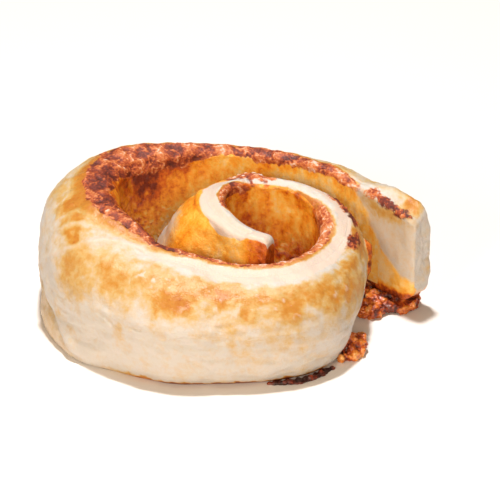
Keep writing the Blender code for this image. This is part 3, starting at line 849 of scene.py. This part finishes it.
# How deep the syrup is, and where it covers the skin
depth = eased(SYRUP_DEPTH, skin_share) * (1 - low) + eased(SYRUP_LOW, skin_share) * low
depth += 0.28 * grain(points * [1, 1, 0.4], 4, 4, 33.5) + 0.16 * grain(points, 1.6, 3, 36.5)
depth += 0.14 * smooth(3.5, 0.5, below_rim - crust_edge) - 0.4 * grainy
bare = np.maximum(window(BARE_SHARES, skin_share), smooth(*BARE_TIP, skin_share))
covered = below_rim + np.maximum(-reach_below, 0) + 1.2 * (1 - bare) * (skin_down < -0.5)
syrup = smooth(-0.3, 0.6, covered) * smooth(0.07, 0.085, skin_share)
dress(skin_mesh, points, skin_share, skin_down, depth=depth, crust=crust, crag=0.75 * crags + 0.5 * webs - 0.05,
      syrup=np.maximum(syrup_on_dough(points, skin_share, skin_down), syrup),
      dark=eased(CRUST_DARK, skin_share) + 0.35 * grain(points, 5, 2, 91.5))
skin_mesh.materials.append(baked_look("baked filling", 0.12))
skin = bpy.data.objects.new("filling_skin", skin_mesh)
bpy.context.scene.collection.objects.link(skin)
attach(skin, "root")
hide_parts("baked_filling")

# The burnt filling. Filling that ran out of the coil and boiled dry on the tray, in porous red-brown lumps: one under
# the outer end of the strip, one at the right of the front and a thin line under its right edge.

# The balls that each lump grows from, as a centre and a radius in millimetres
LEAKS = {
    "leaked_filling_end": [
        (37.6, -1.4, 1.4, 2.2), (40.4, -1.9, 1.6, 2.4), (42.2, -0.4, 1.7, 2.1), (39, 1.4, 2.1, 2.3),
        (36.8, 1.2, 1.5, 1.8), (41.5, 2.6, 2.2, 2.4), (44.6, 1.2, 1.5, 1.9), (46.6, 0.8, 1.2, 1.7),
        (48.8, 0.7, 1.3, 1.8), (50.6, 1.6, 1.5, 1.9), (52, 3.8, 1.7, 1.8), (52.5, 6.4, 1.9, 1.6), (52.6, 9, 2.2, 1.5),
        (44.8, 4.4, 2.2, 2.3), (48.4, 3.6, 2, 2.3), (50, 7, 2, 2.2), (46, 8, 2, 2.3), (41, 6.5, 2, 2.3),
        (43, 11, 2, 2.2), (38.4, 10, 2, 2.2), (48, 12, 2, 2), (40, 14.5, 2, 2),
    ],
    "leaked_filling_side": [
        (33.4, -24.6, 1.6, 2), (35, -22.8, 2.2, 2.2), (33.6, -21.6, 4, 2), (35.6, -21, 3.7, 1.7), (36.8, -20.2, 4.5, 1),
        (34.4, -26, 1.2, 1.5), (32.2, -26.4, 1.2, 1.3), (36, -24, 1.2, 1.3), (32.2, -23.4, 3.4, 1.8),
        (35.8, -18.6, 2.4, 1.7), (31.6, -25, 1.6, 1.6), (33, -27, 0.9, 1.2), (37, -22, 2.4, 1.2),
        (30.8, -27.4, 0.8, 1.2),
    ],
    "leaked_filling_front": [
        (10.5, -39.7, 0, 0.7), (12, -39.8, 0, 0.9), (13.4, -39.7, 0.1, 1), (14.8, -39.7, 0.1, 1),
        (16.2, -39.4, 0.2, 1.1), (17.6, -39.1, 0, 1.1), (19, -38.7, 0.2, 1.1), (20.3, -38, 0.1, 1.1),
        (21.5, -37.3, 0.2, 1.2), (22.7, -36.5, 0.1, 1.1), (23.8, -35.6, 0.1, 1.1), (24.9, -34.6, 0.2, 1.1),
        (25.9, -33.5, 0, 1), (26.8, -32.4, 0.1, 1), (27.7, -31.4, 0, 0.9), (12.7, -38.6, 0, 1),
        (15.5, -38.2, 0, 1.1), (18.3, -37.8, 0, 1.1), (20.9, -36.9, 0, 1.1), (23.2, -35, 0, 1.1),
        (25.2, -33.2, 0, 1),
    ],
}

# Smaller balls on each, the mesh's grain, how deep the pits are, how red the lump is, and where it is darker
SMALLER = 14
SMALLER_SIZES = (0.18, 0.4)
SMALLER_REACH = (0.6, 0.95)
VOXEL = 0.3
PIT_SIZE = 2.4
TRAY_CLEARANCE = 0.02
DARKER_ASIDE = (43, 45, 47, 49)
DARKER = 0.3
DEPTHS = {"burnt_filling_end": 0.8, "burnt_filling_side": 1, "burnt_filling_front": 0.4}
GLOWS = {"burnt_filling_end": 0.56, "burnt_filling_side": 0.6, "burnt_filling_front": 0.12}


def crumbly(name, balls):
    """One rough lump from balls, each a centre and a radius in metres, grown together."""
    bm = bmesh.new()
    bmesh.ops.create_icosphere(bm, subdivisions=2, radius=1)
    ball = np.array([vertex.co for vertex in bm.verts])
    sides = np.array([[vertex.index for vertex in face.verts] for face in bm.faces])
    bm.free()
    centres = np.array([[*centre, radius] for centre, radius in balls])
    spots = (centres[:, None, :3] + ball * centres[:, None, 3:]).reshape(-1, 3)
    faces = (sides + len(ball) * np.arange(len(balls))[:, None, None]).reshape(-1, 3)
    rough = bpy.data.meshes.new(name)
    rough.from_pydata(spots.tolist(), [], faces.tolist())
    lump = bpy.data.objects.new(name, rough)
    bpy.context.scene.collection.objects.link(lump)
    grown = lump.modifiers.new("grown", "REMESH")
    grown.mode = "VOXEL"
    grown.voxel_size = VOXEL * MM
    bpy.context.view_layer.update()
    mesh = bpy.data.meshes.new_from_object(lump.evaluated_get(bpy.context.evaluated_depsgraph_get()))
    lump.modifiers.clear()
    lump.data = mesh
    points, normals = places_of(mesh)
    pits = grain(points, PIT_SIZE, 4, 5.2)
    points += normals * (DEPTHS[name] * pits)[:, None] * MM
    points[:, 2] = np.maximum(points[:, 2], TRAY_CLEARANCE * MM)
    keep(mesh, points, crag=pits, glow=GLOWS[name] - DARKER * window(DARKER_ASIDE, points[:, 0] / MM))
    mesh.shade_smooth()
    return lump


BURNT_STOPS = [(0, (0.03, 0.006, 0.005)), (0.3, (0.16, 0.020, 0.007)), (0.5, (0.44, 0.07, 0.010)),
               (0.72, (0.72, 0.20, 0.02)), (1, (0.85, 0.42, 0.12))]
burnt_look, shader, place = finish(
    "burnt filling", 0.4, Subsurface_Weight=0.1, Subsurface_Scale=0.002, Subsurface_Radius=(1, 0.3, 0.1),
    Coat_Roughness=0.1)
blotches = (place.noise(4 * MM, 3) - 0.5) * 1.3
crumbs = (place.noise(0.7 * MM, 3) - 0.5) * 0.7
tone = place.kept("crag") * 0.35 + place.kept("glow") + blotches + crumbs
tone.stops(*BURNT_STOPS).feed(shader, "Base Color")
(place.noise(2 * MM, 2) * (place.kept("glow") * 1.1 - 0.05)).feed(shader, "Coat Weight")
place.noise(0.6 * MM, 3).bump(0.6, 0.25 * MM).feed(shader, "Normal")

draw = np.random.default_rng(5)
for name, lumps in LEAKS.items():
    balls = []
    for x, y, z, radius in lumps:
        balls.append((Vector((x, y, z)) * MM, radius * MM))
        for _ in range(SMALLER):
            size = radius * draw.uniform(*SMALLER_SIZES)
            way = Vector(draw.normal(size=3)).normalized() * radius * draw.uniform(*SMALLER_REACH)
            balls.append((Vector((x + way.x, y + way.y, max(z + 0.7 * way.z, 0.6 * size))) * MM, size * MM))
    lump = crumbly(name.replace("leaked", "burnt"), balls)
    lump.data.materials.append(burnt_look)
    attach(lump, "root")
    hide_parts(name)

# The floor, the light and the camera. A pale floor under a small lamp almost overhead, with two soft warm lamps low
# at the front that fill the shade, and a long lens 28 degrees above the level.
FLOOR_REACH = 3
FLOOR_COLOUR = (0.86, 0.81, 0.78)
WORLD_COLOUR = (1, 0.8, 0.58)
WORLD_STRENGTH = 0.06
WHITE_LIGHT = (1, 1, 1)
WARM_LIGHT = (1, 0.85, 0.66)

floor_mesh = bpy.data.meshes.new("floor")
corners = [(x * FLOOR_REACH, y * FLOOR_REACH, 0) for x, y in ((-1, -1), (1, -1), (1, 1), (-1, 1))]
floor_mesh.from_pydata(corners, [], [(0, 1, 2, 3)])
floor = bpy.data.objects.new("floor", floor_mesh)
bpy.context.scene.collection.objects.link(floor)
floor_look, shader, place = finish("pale floor", 0.7)
shader.inputs["Base Color"].default_value = (*FLOOR_COLOUR, 1)
floor_mesh.materials.append(floor_look)

world = bpy.data.worlds.new("studio")
world.use_nodes = True
world.node_tree.nodes["Background"].inputs["Color"].default_value = (*WORLD_COLOUR, 1)
world.node_tree.nodes["Background"].inputs["Strength"].default_value = WORLD_STRENGTH
bpy.context.scene.world = world


def lamp(name, spot, aim, size, power, colour):
    """A square lamp at a spot, turned to what it aims at, with its size in metres and its power in watts."""
    light = bpy.data.lights.new(name, "AREA")
    light.size = size
    light.energy = power
    light.color = colour
    made = bpy.data.objects.new(name, light)
    made.location = spot
    made.rotation_euler = (Vector(aim) - Vector(spot)).to_track_quat("-Z", "Y").to_euler()
    bpy.context.scene.collection.objects.link(made)


lamp("key", (-0.03, 0.12, 0.93), (0, 0, 0), 0.08, 9.9, WHITE_LIGHT)
lamp("left fill", (-0.48, -0.82, 0.45), (0, 0, 0.02), 0.3, 4.9, WARM_LIGHT)
lamp("front fill", (0.12, -0.94, 0.45), (0, 0, 0.02), 0.3, 4.5, WARM_LIGHT)

# What the lens is turned to, the lens itself, and how far the camera steps aside and up to frame the scroll
TARGET = Vector((0.0004, -0.0046, 0.015))
ELEVATION = math.radians(28)
DISTANCE = 0.9
FOCAL_PIXELS = 3195
PHOTO_PIXELS = 500
SENSOR = 36
ASIDE = 4.8
UPWARD = 7.04

lens = bpy.data.cameras.new("camera")
lens.sensor_width = SENSOR
lens.lens = FOCAL_PIXELS / PHOTO_PIXELS * SENSOR
camera = bpy.data.objects.new("camera", lens)
back_up = Vector((0, -math.cos(ELEVATION), math.sin(ELEVATION)))
screen_up = Vector((0, math.sin(ELEVATION), math.cos(ELEVATION)))
camera.location = TARGET + back_up * DISTANCE + Vector((1, 0, 0)) * ASIDE * MM + screen_up * UPWARD * MM
camera.rotation_euler = (math.pi / 2 - ELEVATION, 0, 0)
bpy.context.scene.collection.objects.link(camera)
bpy.context.scene.camera = camera
bpy.context.scene.view_settings.view_transform = "Standard"
